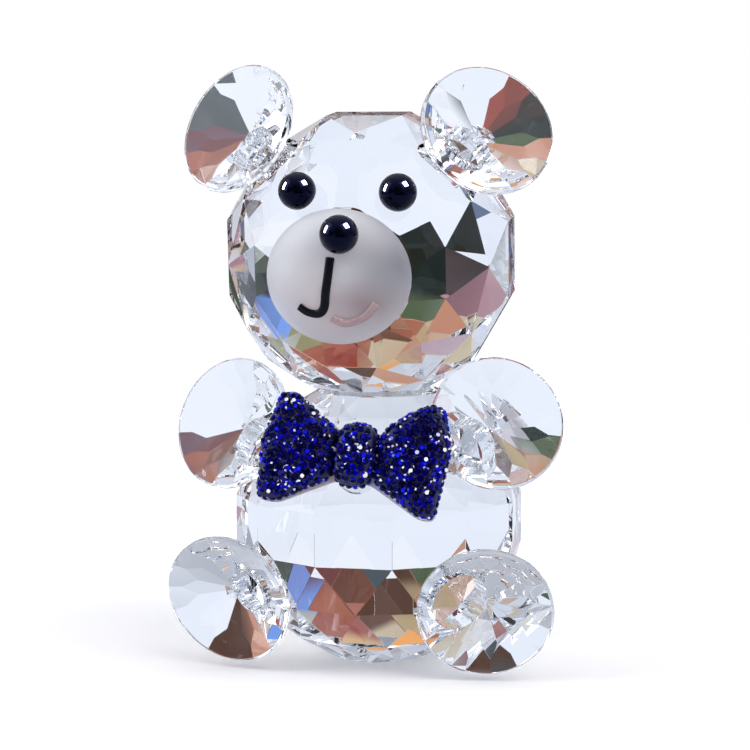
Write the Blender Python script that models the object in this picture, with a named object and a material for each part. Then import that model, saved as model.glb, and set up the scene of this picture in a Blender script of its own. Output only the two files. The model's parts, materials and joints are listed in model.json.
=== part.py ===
"""Cut crystal glass bear that stands on a shelf.

Two faceted glass balls make the body and the head. Six pointed cut discs are the ears, arms and
legs: each is glued by the side of its cone to a flat ground on a ball. A frosted dome is the
muzzle, black beads are the eyes and the nose, and a stone-set bow tie hangs at the neck. Clear
cured adhesive holds every joint, and nothing moves. Metres, +Z up, the face looks along -Y, and
the origin is the centre of the flat that the body ball stands on.
"""

import math

import bmesh
import bpy
from mathutils import Matrix, Vector

MM = 0.001

# The cut of the two balls
BALL_RADIUS = 20.2 * MM  # to the corners of the facets
FACETS_ROUND = 12
RING_LATITUDES = (10, 30, 50, 70)  # degrees, each way from the belt, every other ring turned half a step

# Flats ground on the balls, as distances from the ball's centre
NECK_SEAT = 17.85 * MM
LIMB_SEAT = 19.0 * MM
MUZZLE_SEAT = 17.9 * MM
EYE_SEAT = 19.2 * MM
BOW_SEAT = 19.2 * MM

# Bonds: a pad of cured adhesive with a clearance on both sides of it
GAP = 0.25 * MM
PAD = 0.4 * MM
BOND = PAD + 2 * GAP
NECK_PAD_RADIUS = 7.0 * MM
LIMB_PAD_RADIUS = 3.6 * MM
MUZZLE_PAD_RADIUS = 7.5 * MM
BOW_PAD_RADIUS = 2.8 * MM
DOT_RADIUS = 1.3 * MM
DOT = 0.2 * MM

# The head on the body
HEAD_SHIFT = Vector((-0.7 * MM, -2.5 * MM, 0))
HEAD_NOD = -5.5  # degrees, the elevation of the head ball's pole, which the muzzle sits on

# The cut of the six discs
DISC_RADIUS = 9.0 * MM
GIRDLE = 1.2 * MM
TABLE_BEVEL = 0.3 * MM
MAIN_FACETS = 16
MAIN_SLOPE = math.radians(32)
BREAK_SLOPE = math.radians(35.5)
BREAK_START = 5.5 * MM  # how far from the point the outer facets begin
DISC_SIDES = 96

# Each disc: its ball, the direction of its seat (azimuth from the front towards the bear's left,
# elevation), the turn of its face about the seat's normal, and where along the cone it is glued
DISCS = {
    "ear_right": ("head", -58.5, 41.1, 118, 4.1 * MM),
    "ear_left": ("head", 60.7, 41.0, -110, 3.7 * MM),
    "arm_right": ("body", -56.0, 32.5, 108, 4.6 * MM),
    "arm_left": ("body", 54.0, 35.0, -106, 4.6 * MM),
    "leg_right": ("body", -47.4, -20.8, 84, 3.4 * MM),
    "leg_left": ("body", 41.8, -21.2, -84, 4.4 * MM),
}

# The muzzle dome and the beads
MUZZLE_SHIFT = -0.6 * MM
MUZZLE_WIDTH = 18.7 * MM
MUZZLE_HEIGHT = 17.4 * MM
MUZZLE_DEPTH = 6.5 * MM
MUZZLE_RIM = 0.5 * MM
EYE_RIGHT = (-19.9, 25.6)  # azimuth and elevation, degrees
EYE_LEFT = (20.9, 25.1)
BEAD_RADIUS = 2.45 * MM
BEAD_CENTRE = 0.9 * MM  # above its flat back
NOSE_PLACE = (1.2 * MM, 5.8 * MM)  # on the dome, across and up from its middle

# The painted mouth, as places on the dome
STROKE_WIDTH = 1.25 * MM
STROKE_DEPTH = 0.35 * MM
STROKE_LIFT = 0.12 * MM
MOUTH_STEM = ((0.1, 3.25), (-0.15, 1.1), (-0.5, -1.1), (-0.8, -3.0), (-1.6, -3.85), (-3.0, -3.7), (-4.1, -3.0))
SMILE = ((0.05, -4.4), (1.75, -5.1), (4.0, -4.35), (5.6, -2.6))

# The bow tie
BOW_AZIMUTH = 1.0
BOW_ELEVATION = 18
BOW_RISE = 5.0 * MM  # of the knot above the middle of the bow's seat
BOW_PAD_RISE = 3.0 * MM  # of the pad, so that the knot hides it
BOW_TILT = -5.5  # degrees, about its own normal
PLATE = 0.5 * MM
WING_DEPTH = 1.9 * MM
KNOT_DEPTH = 2.7 * MM
WING_LEFT = ((2.9, 2.9), (5.2, 5.4), (8.9, 7.8), (10.9, 7.0), (12.1, 1.5), (11.2, -6.9), (9.4, -6.9), (2.9, -3.2))
WING_RIGHT = ((2.9, 2.9), (9.2, 7.2), (11.0, 6.8), (12.5, 0.6), (12.1, -6.9), (9.6, -7.0), (2.9, -3.2))  # mirrored
KNOT_CORNERS = ((-2.5, -4.1), (2.5, -4.1), (2.5, 4.1), (-2.5, 4.1))
PLATE_LEFT = ((2.2, 2.9), (5.2, 5.3), (8.9, 7.7), (10.8, 6.9), (12.0, 1.5), (11.3, -7.2), (9.3, -7.3), (2.2, -3.5))
PLATE_RIGHT = ((2.2, 2.9), (9.2, 7.1), (10.9, 6.7), (12.4, 0.6), (12.2, -7.2), (9.6, -7.4), (2.2, -3.5))  # mirrored
CORNER_ROUND = 0.9 * MM


def clear_scene():
    for obj in list(bpy.data.objects):
        bpy.data.objects.remove(obj, do_unlink=True)


def material(name, colour, roughness, metallic=0.0, transmission=0.0):
    made = bpy.data.materials.new(name)
    made.use_nodes = True
    shader = made.node_tree.nodes["Principled BSDF"]
    shader.inputs["Base Color"].default_value = (*colour, 1)
    shader.inputs["Roughness"].default_value = roughness
    shader.inputs["Metallic"].default_value = metallic
    shader.inputs["Transmission Weight"].default_value = transmission
    shader.inputs["IOR"].default_value = 1.52
    made.diffuse_color = (*colour, 1)
    return made


def direction(azimuth, elevation):
    """The unit vector at these angles in degrees: azimuth 0 is the bear's front, 90 its left side."""
    a, e = math.radians(azimuth), math.radians(elevation)
    return Vector((math.sin(a) * math.cos(e), -math.cos(a) * math.cos(e), math.sin(e)))


def basis(z_axis, x_hint, origin):
    """A placement with this Z axis, and its X axis as near x_hint as it can be."""
    z = z_axis.normalized()
    x = (x_hint - z * x_hint.dot(z)).normalized()
    y = z.cross(x)
    return Matrix.Translation(origin) @ Matrix((x, y, z)).transposed().to_4x4()


def hull(points):
    bm = bmesh.new()
    for point in points:
        bm.verts.new(point)
    bmesh.ops.convex_hull(bm, input=bm.verts)
    return bm


def cut_flat(bm, normal, distance):
    """Grinds away all that lies past the plane at this distance from the origin, and closes it."""
    normal = Vector(normal)
    whole = bm.verts[:] + bm.edges[:] + bm.faces[:]
    bmesh.ops.bisect_plane(
        bm, geom=whole, dist=1e-7, plane_co=normal * distance, plane_no=normal, clear_outer=True
    )
    bmesh.ops.holes_fill(bm, edges=[e for e in bm.edges if e.is_boundary], sides=0)


def merge_flats(bm):
    bmesh.ops.dissolve_limit(bm, angle_limit=math.radians(0.4), verts=bm.verts, edges=bm.edges)
    bmesh.ops.recalc_face_normals(bm, faces=bm.faces)


def add_object(name, bm, finish, placement, smooth_below=None):
    """One piece of the bear, under the empty that stands for the whole."""
    mesh = bpy.data.meshes.new(name)
    bm.to_mesh(mesh)
    bm.free()
    if smooth_below is not None:
        mesh.shade_smooth()
        mesh.set_sharp_from_angle(angle=math.radians(smooth_below))
    mesh.materials.append(finish)
    obj = bpy.data.objects.new(name, mesh)
    bpy.context.scene.collection.objects.link(obj)
    obj.parent = bpy.data.objects["bear"]
    obj.matrix_world = placement
    return obj


def ball(name, pole, side, centre, seats, finish):
    """A ball with rings of corners round its pole, cut flat at each seat (a direction and a distance)."""
    step = 2 * math.pi / FACETS_ROUND
    corners = []
    for index, latitude in enumerate(RING_LATITUDES):
        turn = 0 if index % 2 else step / 2
        height = BALL_RADIUS * math.sin(math.radians(latitude))
        across = BALL_RADIUS * math.cos(math.radians(latitude))
        for k in range(FACETS_ROUND):
            a = turn + k * step
            for sign in (1, -1):
                corners.append((across * math.cos(a), across * math.sin(a), sign * height))
    bm = hull(corners)
    bm.transform(basis(pole, side, Vector((0, 0, 0))))
    for normal, distance in seats:
        cut_flat(bm, normal, distance)
    merge_flats(bm)
    return add_object(name, bm, finish, Matrix.Translation(centre))


def disc_mesh():
    """A pointed cut disc: its face at +Z, the foot of its girdle at 0 and its point at -Z."""
    depth = DISC_RADIUS * math.tan(MAIN_SLOPE)
    rings = (
        (DISC_RADIUS - TABLE_BEVEL, GIRDLE),
        (DISC_RADIUS, GIRDLE - TABLE_BEVEL),
        (DISC_RADIUS, -depth),
    )
    points = []
    for radius, z in rings:
        for k in range(DISC_SIDES):
            a = 2 * math.pi * k / DISC_SIDES
            points.append((radius * math.cos(a), radius * math.sin(a), z))
    bm = hull(points)
    step = 2 * math.pi / MAIN_FACETS
    for k in range(MAIN_FACETS):
        cut_slope(bm, k * step, MAIN_SLOPE, depth)
    ridge = BREAK_START * math.cos(step / 2) * math.tan(MAIN_SLOPE) - depth
    for k in range(MAIN_FACETS):
        cut_slope(bm, (k + 0.5) * step, BREAK_SLOPE, BREAK_START * math.tan(BREAK_SLOPE) - ridge)
    merge_flats(bm)
    return bm


def cut_slope(bm, angle, slope, depth):
    """Cuts one facet of the cone, whose plane meets the axis this deep under the girdle."""
    across = math.sin(slope)
    normal = (across * math.cos(angle), across * math.sin(angle), -math.cos(slope))
    cut_flat(bm, normal, depth * math.cos(slope))


def disc_placement(centre, seat, turn, glued_at):
    """Where a disc sits when the side of its cone lies on the seat, a bond's thickness off it."""
    level = Vector((0, 0, 1)).cross(seat).normalized()
    upward = seat.cross(level)
    lean = upward * math.cos(math.radians(turn)) + level * math.sin(math.radians(turn))
    face = seat * math.cos(MAIN_SLOPE) + lean * math.sin(MAIN_SLOPE)
    inward = (face * math.cos(MAIN_SLOPE) - seat) / math.sin(MAIN_SLOPE)
    contact = centre + seat * (LIMB_SEAT + BOND)
    girdle = contact - inward * glued_at + face * (DISC_RADIUS - glued_at) * math.tan(MAIN_SLOPE)
    return basis(face, inward, girdle)


def pad(name, centre, normal, distance, radius, thickness, finish):
    """A flat pad of cured adhesive that lies a clearance above its seat."""
    bm = bmesh.new()
    bmesh.ops.create_cone(
        bm, cap_ends=True, segments=32, radius1=radius, radius2=radius * 0.94, depth=thickness
    )
    middle = centre + normal * (distance + GAP + thickness / 2)
    hint = Vector((0, 0, 1)) if abs(normal.z) < 0.9 else Vector((1, 0, 0))
    return add_object(name, bm, finish, basis(normal, hint, middle), 40)


def turned(profile, segments):
    """A closed solid turned about Z from (radius, height) points, the last of them on the axis."""
    bm = bmesh.new()
    rings = []
    for radius, z in profile[:-1]:
        ring = []
        for k in range(segments):
            a = 2 * math.pi * k / segments
            ring.append(bm.verts.new((radius * math.cos(a), radius * math.sin(a), z)))
        rings.append(ring)
    bm.faces.new(reversed(rings[0]))
    for low, high in zip(rings, rings[1:]):
        for k in range(segments):
            n = (k + 1) % segments
            bm.faces.new((low[k], low[n], high[n], high[k]))
    top = bm.verts.new((0, 0, profile[-1][1]))
    for k in range(segments):
        bm.faces.new((rings[-1][k], rings[-1][(k + 1) % segments], top))
    return bm


def bead(name, centre, normal, distance, finish):
    """A polished ball with a ground back, glued on its seat."""
    start = -math.asin(BEAD_CENTRE / BEAD_RADIUS)
    steps = 12
    profile = []
    for k in range(steps + 1):
        a = start + (math.pi / 2 - start) * k / steps
        profile.append((BEAD_RADIUS * math.cos(a), BEAD_CENTRE + BEAD_RADIUS * math.sin(a)))
    bm = turned(profile, 28)
    back = centre + normal * (distance + 2 * GAP + DOT)
    return add_object(name, bm, finish, basis(normal, Vector((0, 0, 1)), back), 40)


def dome_height(across, up):
    """Height of the muzzle dome over its flat back, at a place on it."""
    share = (across / (MUZZLE_WIDTH / 2)) ** 2 + (up / (MUZZLE_HEIGHT / 2)) ** 2
    return MUZZLE_RIM + (MUZZLE_DEPTH - MUZZLE_RIM) * math.sqrt(max(0, 1 - share))


def dome_normal(across, up):
    slope_x = across / (MUZZLE_WIDTH / 2) ** 2
    slope_y = up / (MUZZLE_HEIGHT / 2) ** 2
    rise = (dome_height(across, up) - MUZZLE_RIM) / (MUZZLE_DEPTH - MUZZLE_RIM) ** 2
    return Vector((slope_x, slope_y, rise)).normalized()


def muzzle(placement, finish):
    """The oval dome, with a flat ground for the nose."""
    steps = 10
    profile = [(1, 0)]
    for k in range(steps + 1):
        a = math.pi / 2 * k / steps
        profile.append((math.cos(a), MUZZLE_RIM + (MUZZLE_DEPTH - MUZZLE_RIM) * math.sin(a)))
    bm = turned(profile, 48)
    for vert in bm.verts:
        vert.co.x *= MUZZLE_WIDTH / 2
        vert.co.y *= MUZZLE_HEIGHT / 2
    normal, _, distance = nose_seat()
    cut_flat(bm, normal, distance)
    return add_object("muzzle_dome", bm, finish, placement, 40)


def nose_seat():
    """The nose's normal, its place and its seat's distance, in the muzzle's frame."""
    across, up = NOSE_PLACE
    normal = (dome_normal(across, up) + Vector((0, 0, 1))).normalized()
    place = Vector((across, up, dome_height(across, up)))
    return normal, place, place.dot(normal) - DOT


def stroke(name, path, placement, finish):
    """A raised painted line that follows the dome."""
    points = smooth_path([Vector((x * MM, y * MM, 0)) for x, y in path])
    half = STROKE_WIDTH / 2
    section = ((-half, 0), (half, 0), (half * 0.6, STROKE_DEPTH), (-half * 0.6, STROKE_DEPTH))
    bm = bmesh.new()
    rings = []
    for index, point in enumerate(points):
        ahead = points[min(index + 1, len(points) - 1)] - points[max(index - 1, 0)]
        side = Vector((ahead.y, -ahead.x, 0)).normalized()
        normal = dome_normal(point.x, point.y)
        foot = Vector((point.x, point.y, dome_height(point.x, point.y))) + normal * STROKE_LIFT
        side = (side - normal * side.dot(normal)).normalized()
        rings.append([bm.verts.new(foot + side * x + normal * z) for x, z in section])
    count = len(section)
    for low, high in zip(rings, rings[1:]):
        for k in range(count):
            n = (k + 1) % count
            bm.faces.new((low[k], low[n], high[n], high[k]))
    bm.faces.new(rings[0])
    bm.faces.new(reversed(rings[-1]))
    bmesh.ops.recalc_face_normals(bm, faces=bm.faces)
    return add_object(name, bm, finish, placement, 40)


def smooth_path(points, steps=5):
    """Points along a Catmull-Rom curve through these ones."""
    ends = [points[0] * 2 - points[1]] + points + [points[-1] * 2 - points[-2]]
    made = []
    for a, b, c, d in zip(ends, ends[1:], ends[2:], ends[3:]):
        for k in range(steps):
            t = k / steps
            made.append(
                0.5 * (b * 2 + (c - a) * t + (a * 2 - b * 5 + c * 4 - d) * t**2 + (b * 3 - a - c * 3 + d) * t**3)
            )
    made.append(points[-1])
    return made


def rounded(corners, radius, steps=4):
    """The outline through these corners, each of them rounded off."""
    made = []
    for index, corner in enumerate(corners):
        before = (corners[index - 1] - corner).normalized()
        after = (corners[(index + 1) % len(corners)] - corner).normalized()
        start, end = corner + before * radius, corner + after * radius
        for k in range(steps + 1):
            t = k / steps
            made.append(start * (1 - t) ** 2 + corner * 2 * t * (1 - t) + end * t**2)
    return made


def cushion(name, outline, base, depth, placement, finish, levels=((0.0, 1.0), (0.55, 1.0), (0.85, 0.9), (1.0, 0.68))):
    """A raised body on an outline: each level is a share of the depth and a share of the outline."""
    middle = sum(outline, Vector((0, 0))) / len(outline)
    bm = bmesh.new()
    rings = []
    for share, size in levels:
        z = base + depth * share
        rings.append([bm.verts.new((*(middle + (p - middle) * size), z)) for p in outline])
    for low, high in zip(rings, rings[1:]):
        for k in range(len(outline)):
            n = (k + 1) % len(outline)
            bm.faces.new((low[k], low[n], high[n], high[k]))
    bm.faces.new(reversed(rings[0]))
    bm.faces.new(rings[-1])
    bmesh.ops.recalc_face_normals(bm, faces=bm.faces)
    return add_object(name, bm, finish, placement, 50)


def corner_vectors(corners, mirror=1):
    """Corners given in millimetres, mirrored across the bow's middle and kept in order."""
    made = [Vector((x * MM * mirror, y * MM)) for x, y in corners]
    return made if mirror > 0 else made[::-1]


def bow_tie(placement, finishes):
    plate = corner_vectors(PLATE_LEFT) + corner_vectors(PLATE_RIGHT, -1)
    flat = ((0.0, 1.0), (1.0, 1.0))
    cushion("bow_backing_plate", rounded(plate, CORNER_ROUND), 0, PLATE, placement, finishes["silver"], flat)
    base = PLATE + GAP
    for name, corners, mirror in (("bow_wing_left", WING_LEFT, 1), ("bow_wing_right", WING_RIGHT, -1)):
        outline = rounded(corner_vectors(corners, mirror), CORNER_ROUND)
        cushion(name, outline, base, WING_DEPTH, placement, finishes["blue"])
    outline = rounded(corner_vectors(KNOT_CORNERS), 2.2 * MM)
    cushion("bow_knot", outline, base, KNOT_DEPTH, placement, finishes["blue"])


def finishes():
    return {
        "crystal": material("crystal", (0.90, 0.92, 0.97), 0.0, transmission=1.0),
        "frosted": material("frosted_glass", (0.80, 0.79, 0.86), 0.45, transmission=0.5),
        "black": material("black_bead", (0.008, 0.008, 0.012), 0.05),
        "paint": material("black_paint", (0.012, 0.012, 0.018), 0.25),
        "blush": material("blush_paint", (0.62, 0.45, 0.45), 0.3),
        "blue": material("bow_blue", (0.01, 0.015, 0.28), 0.15),
        "silver": material("bow_silver", (0.75, 0.76, 0.78), 0.2, metallic=1.0),
        "adhesive": material("adhesive", (0.88, 0.90, 0.93), 0.05, transmission=0.9),
    }


def main():
    clear_scene()
    bear = bpy.data.objects.new("bear", None)
    bpy.context.scene.collection.objects.link(bear)
    look = finishes()
    up = Vector((0, 0, 1))
    left = Vector((1, 0, 0))

    body = up * BALL_RADIUS * math.sin(math.radians(RING_LATITUDES[-1]))
    head = body + up * (2 * NECK_SEAT + BOND) + HEAD_SHIFT
    centres = {"body": body, "head": head}
    seats = {"body": [(up, NECK_SEAT)], "head": [(-up, NECK_SEAT)]}

    muzzle_axis = direction(0, HEAD_NOD)
    bow_axis = direction(BOW_AZIMUTH, BOW_ELEVATION)
    eyes = {
        "right": direction(*EYE_RIGHT),
        "left": direction(*EYE_LEFT),
    }
    seats["head"] += [(muzzle_axis, MUZZLE_SEAT)] + [(eye, EYE_SEAT) for eye in eyes.values()]
    seats["body"].append((bow_axis, BOW_SEAT))
    seat_normals = {}
    for name, (ball_name, azimuth, elevation, _, _) in DISCS.items():
        seat_normals[name] = direction(azimuth, elevation)
        seats[ball_name].append((seat_normals[name], LIMB_SEAT))

    ball("body_ball", up, direction(0, 0), body, seats["body"], look["crystal"])
    ball("head_ball", muzzle_axis, left, head, seats["head"], look["crystal"])
    neck_middle = body + HEAD_SHIFT / 2
    pad("adhesive_neck", neck_middle, up, NECK_SEAT, NECK_PAD_RADIUS, PAD, look["adhesive"])

    for name, (ball_name, _, _, turn, glued_at) in DISCS.items():
        seat = seat_normals[name]
        centre = centres[ball_name]
        add_object(name, disc_mesh(), look["crystal"], disc_placement(centre, seat, turn, glued_at))
        pad(f"adhesive_{name}", centre, seat, LIMB_SEAT, LIMB_PAD_RADIUS, PAD, look["adhesive"])

    pad("adhesive_muzzle", head + left * MUZZLE_SHIFT, muzzle_axis, MUZZLE_SEAT, MUZZLE_PAD_RADIUS, PAD, look["adhesive"])
    back = head + left * MUZZLE_SHIFT + muzzle_axis * (MUZZLE_SEAT + BOND)
    face = basis(muzzle_axis, left, back)
    muzzle(face, look["frosted"])
    stroke("mouth_line", MOUTH_STEM, face, look["paint"])
    stroke("smile_line_left", SMILE, face, look["blush"])

    normal, place, distance = nose_seat()
    nose_axis = (face.to_3x3() @ normal).normalized()
    nose_foot = face @ (place - normal * place.dot(normal))
    pad("adhesive_nose", nose_foot, nose_axis, distance, DOT_RADIUS, DOT, look["adhesive"])
    bead("nose_bead", nose_foot, nose_axis, distance, look["black"])
    for side, eye in eyes.items():
        pad(f"adhesive_eye_{side}", head, eye, EYE_SEAT, DOT_RADIUS, DOT, look["adhesive"])
        bead(f"eye_{side}", head, eye, EYE_SEAT, look["black"])

    rise = (up - bow_axis * bow_axis.z).normalized()
    pad_middle = body + rise * BOW_PAD_RISE
    pad("adhesive_bow", pad_middle, bow_axis, BOW_SEAT, BOW_PAD_RADIUS, PAD, look["adhesive"])
    bow_back = body + bow_axis * (BOW_SEAT + BOND) + rise * BOW_RISE
    bow = basis(bow_axis, left, bow_back) @ Matrix.Rotation(math.radians(BOW_TILT), 4, "Z")
    bow_tie(bow, look)


main()
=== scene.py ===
import json
import math
import random

import bpy
from mathutils import Matrix, Vector

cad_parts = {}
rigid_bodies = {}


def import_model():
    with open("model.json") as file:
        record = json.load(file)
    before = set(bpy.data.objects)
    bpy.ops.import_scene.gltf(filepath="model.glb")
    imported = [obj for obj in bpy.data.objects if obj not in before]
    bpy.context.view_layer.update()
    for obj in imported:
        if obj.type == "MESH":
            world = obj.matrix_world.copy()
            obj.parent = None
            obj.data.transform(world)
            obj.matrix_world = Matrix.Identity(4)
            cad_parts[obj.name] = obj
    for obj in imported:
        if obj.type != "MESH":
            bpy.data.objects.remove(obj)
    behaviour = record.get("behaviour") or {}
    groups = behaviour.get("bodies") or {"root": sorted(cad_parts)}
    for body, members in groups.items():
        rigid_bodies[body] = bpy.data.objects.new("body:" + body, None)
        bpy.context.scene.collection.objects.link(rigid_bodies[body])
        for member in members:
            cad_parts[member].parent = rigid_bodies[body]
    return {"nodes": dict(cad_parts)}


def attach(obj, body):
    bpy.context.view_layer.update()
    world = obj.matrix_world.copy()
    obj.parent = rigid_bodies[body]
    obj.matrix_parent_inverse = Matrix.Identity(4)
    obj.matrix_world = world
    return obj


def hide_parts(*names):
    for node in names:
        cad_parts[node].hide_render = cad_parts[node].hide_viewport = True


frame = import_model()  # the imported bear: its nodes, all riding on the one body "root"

bl_info = {
    "name": "Crystal Bear",
    "version": (1, 0, 0),
    "blender": (4, 5, 0),
    "location": "View3D > Sidebar > Crystal Bear",
    "description": "Gives the cut crystal bear its polished facets, stones, beads and stage",
    "category": "Object",
}

BODY = "root"
MM = 0.001
CENTRES = {"body": Vector((0, 0, 18.98 * MM)), "head": Vector((-0.7 * MM, -2.5 * MM, 55.58 * MM))}
BALLS = {"body_ball": "body", "head_ball": "head"}
DISCS = {
    "ear_left": "head",
    "ear_right": "head",
    "arm_left": "body",
    "arm_right": "body",
    "leg_left": "body",
    "leg_right": "body",
}
WINGS = ("bow_wing_left", "bow_wing_right", "bow_knot")

HEAD_NOD = -5.5  # elevation of the muzzle's axis, in degrees
BOND = 0.9 * MM  # between a ball's seat and the disc or ball glued to it
HALF_BOND = 0.45 * MM
BEAD_FOOT = 0.35 * MM  # from the middle of a bead's pad to the bead's flat back
BEAD_CENTRE = 0.9 * MM  # from the flat back to the bead's centre

# The crystals' material slots while they are cut, and how far each imprint reaches along its bond's axis.
CLEAR, WETTED, CUTTER = 0, 1, 2
BOND_SIDES = 64
DISC_REACH = (-0.35 * MM, 1.75 * MM)
BALL_REACH = (-1.4 * MM, -0.4 * MM)
PLUG_RISE = 1.5 * MM  # how far a pad is built up before its disc trims it

# The bow tie's place on the body ball, in degrees and metres, and the parts of one stone.
BOW_AZIMUTH = 1
BOW_ELEVATION = 18
BOW_TILT = -5.5
BOW_OUT = 20.1 * MM
BOW_RISE = 5.0 * MM
STONE_SIDES = 8
STONE_GIRDLE = 0.12 * MM
CROWN = (1, 0.24 * MM, 0.56)  # which way it faces, its height, and its table's share of the girdle
FOOT = (-1, -0.3 * MM, 0.5)
FLAT_SHARE = 0.3  # stones are set where the bed faces outwards by more than this
ROW_SHARE = 0.86  # of the pitch, from row to row
EDGE_SHARE = 0.96  # of the pitch, from stone to stone round the side
EDGE_LEVEL = 0.55 * MM
EDGE_RAYS = 720

AIM = Vector((-0.66 * MM, 0, 38.89 * MM))  # what the camera looks at

# The room that the crystal bends into its facets, laid out like shelves of coloured card behind the bear.
# Each shelf gives its top in degrees, then its cards by azimuth from the far side. Azimuths are positive to
# the bear's left.
TONES = {
    "white": (0.88, 0.92, 1.0),
    "pale": (0.66, 0.72, 0.86),
    "mist": (0.34, 0.38, 0.52),
    "steel": (0.12, 0.16, 0.27),
    "slate": (0.07, 0.09, 0.10),
    "navy": (0.018, 0.026, 0.055),
    "glint": (0.19, 0.37, 0.90),
    "pine": (0.012, 0.02, 0.014),
    "sage": (0.085, 0.12, 0.06),
    "moss": (0.30, 0.29, 0.15),
    "clay": (0.38, 0.125, 0.08),
    "brick": (0.31, 0.065, 0.045),
    "wine": (0.16, 0.05, 0.052),
    "umber": (0.09, 0.042, 0.026),
    "peach": (0.54, 0.25, 0.16),
    "sand": (0.53, 0.42, 0.24),
    "cream": (0.58, 0.50, 0.36),
    "mauve": (0.40, 0.20, 0.25),
    "orange": (0.90, 0.36, 0.05),
}
ROOM = (
    (-6, (
        (-85, "white"), (-50, "steel"), (-40, "pine"), (-25, "pine"), (-15, "brick"), (-5, "slate"),
        (5, "slate"), (10, "white"), (45, "white"),
    )),
    (0, (
        (-85, "mist"), (-55, "pale"), (-45, "mauve"), (-35, "pine"), (-10, "pine"), (0, "wine"),
        (15, "steel"), (25, "white"), (35, "sage"), (60, "steel"),
    )),
    (5, (
        (-85, "pale"), (-45, "mauve"), (-35, "pine"), (-25, "sage"), (-20, "white"), (-16, "white"),
        (-14, "slate"), (-9, "slate"), (-6, "white"), (-1, "white"), (2, "wine"), (8, "wine"),
        (11, "white"), (15, "white"), (20, "slate"), (35, "sage"), (60, "mist"),
    )),
    (12, (
        (-85, "clay"), (-50, "cream"), (-35, "peach"), (-25, "peach"), (-18, "umber"), (-6, "umber"),
        (5, "clay"), (15, "wine"), (22, "navy"), (35, "sage"), (60, "mist"),
    )),
    (20, (
        (-85, "pale"), (-45, "pale"), (-30, "mauve"), (-22, "sand"), (-12, "umber"), (0, "clay"), (8, "wine"),
        (20, "glint"), (35, "navy"), (60, "pale"),
    )),
    (28, (
        (-85, "mist"), (-50, "cream"), (-30, "sand"), (-20, "clay"), (-12, "umber"), (-5, "clay"),
        (6, "clay"), (14, "moss"), (25, "pale"), (60, "white"),
    )),
    (36, (
        (-85, "white"), (-40, "cream"), (-25, "peach"), (-12, "cream"), (-3, "brick"), (6, "brick"),
        (14, "clay"), (20, "pale"), (60, "pale"),
    )),
    (40, (
        (-85, "white"), (-30, "cream"), (-18, "orange"), (-6, "sand"), (12, "orange"), (30, "white"),
    )),
)
SEAM = 105  # degrees from the far side to where the room's cards begin again, every half turn
BLUR = 0.6  # degrees, each way, over which one shelf passes into the next
SWAY = (1.6, 1)  # degrees by which the shelves wander, along and up
# The sky over the shelves, from the horizon to overhead.
SKY = ((0.0, (0.45, 0.50, 0.62)), (0.45, (0.55, 0.60, 0.72)), (0.7, (0.9, 0.94, 1.0)), (1.0, (1.3, 1.3, 1.3)))
# Azimuth from the bear's front, elevation, width and height of each window, in degrees.
WINDOWS = ((-70, 26, 34, 52), (65, 46, 46, 40))
WINDOW_GLOW = (3.4, 3.4, 3.4, 1)
# The same for each bright panel, with its power in watts, and how far from the head the panels stand.
PANELS = ((-78, 22, 14, 30, 60), (72, 46, 26, 26, 90))
PANEL_REACH = 0.5
# Two soft painted shades on the muzzle's frosting, a dark one towards the bear's left and a pinkish one by
# the smile, standing for light through the dome: place, reach each way and shade.
PAINTED_SHADES = (
    ((8.5 * MM, -26 * MM, 55.5 * MM), (13 * MM, 16 * MM, 12 * MM), (0.16, 0.18, 0.24)),
    ((3.0 * MM, -28 * MM, 50.5 * MM), (11 * MM, 14 * MM, 6 * MM), (0.55, 0.38, 0.38)),
)


def length(name, description, default):
    return bpy.props.FloatProperty(name=name, description=description, default=default, unit="LENGTH")


def angle(name, description, degrees):
    default = math.radians(degrees)
    return bpy.props.FloatProperty(name=name, description=description, default=default, unit="ROTATION")


class CrystalSettings(bpy.types.PropertyGroup):
    edge: length("Polished Edge", "Width of the worn edge between two facets", 0.07 * MM)
    merge: length("Merge", "Points closer than this are one", 0.002 * MM)
    tint: bpy.props.FloatVectorProperty(
        name="Tint", description="Colour of the crystal", default=(0.97, 0.98, 1.0), size=3, subtype="COLOR"
    )
    bend: bpy.props.FloatProperty(
        name="Refractive Index", description="How far the crystal bends light", default=1.52
    )


class BondSettings(bpy.types.PropertyGroup):
    ear: length("Ear", "Radius of an ear's bond", 3.2 * MM)
    arm: length("Arm", "Radius of an arm's bond", 3.4 * MM)
    leg_left: length("Left Leg", "Radius of the left leg's bond", 4.1 * MM)
    leg_right: length("Right Leg", "Radius of the right leg's bond", 3.2 * MM)
    neck: length("Neck", "Radius of the neck's bond", 7.0 * MM)
    crevice: length("Crevice", "Left between the cured adhesive and the crystal", 0.02 * MM)


class FaceSettings(bpy.types.PropertyGroup):
    width: length("Muzzle Width", "Across the frosted dome", 18.7 * MM)
    height: length("Muzzle Height", "Up the frosted dome", 17.4 * MM)
    depth: length("Muzzle Depth", "How far the dome stands out", 6.5 * MM)
    rim: length("Muzzle Rim", "Height of the dome's straight rim", 0.5 * MM)
    bead: length("Bead Radius", "Radius of the eyes and the nose", 2.45 * MM)


class BowSettings(bpy.types.PropertyGroup):
    stone: length("Stone", "Across one cut stone", 0.98 * MM)
    pitch: length("Pitch", "From one stone to the next", 0.95 * MM)
    stray: length("Stray", "How far a stone lies off its row", 0.13 * MM)
    tilt: angle("Tilt", "How far a stone leans", 11)
    seed: bpy.props.IntProperty(name="Seed", description="Picks another scatter of stones", default=7)


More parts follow.
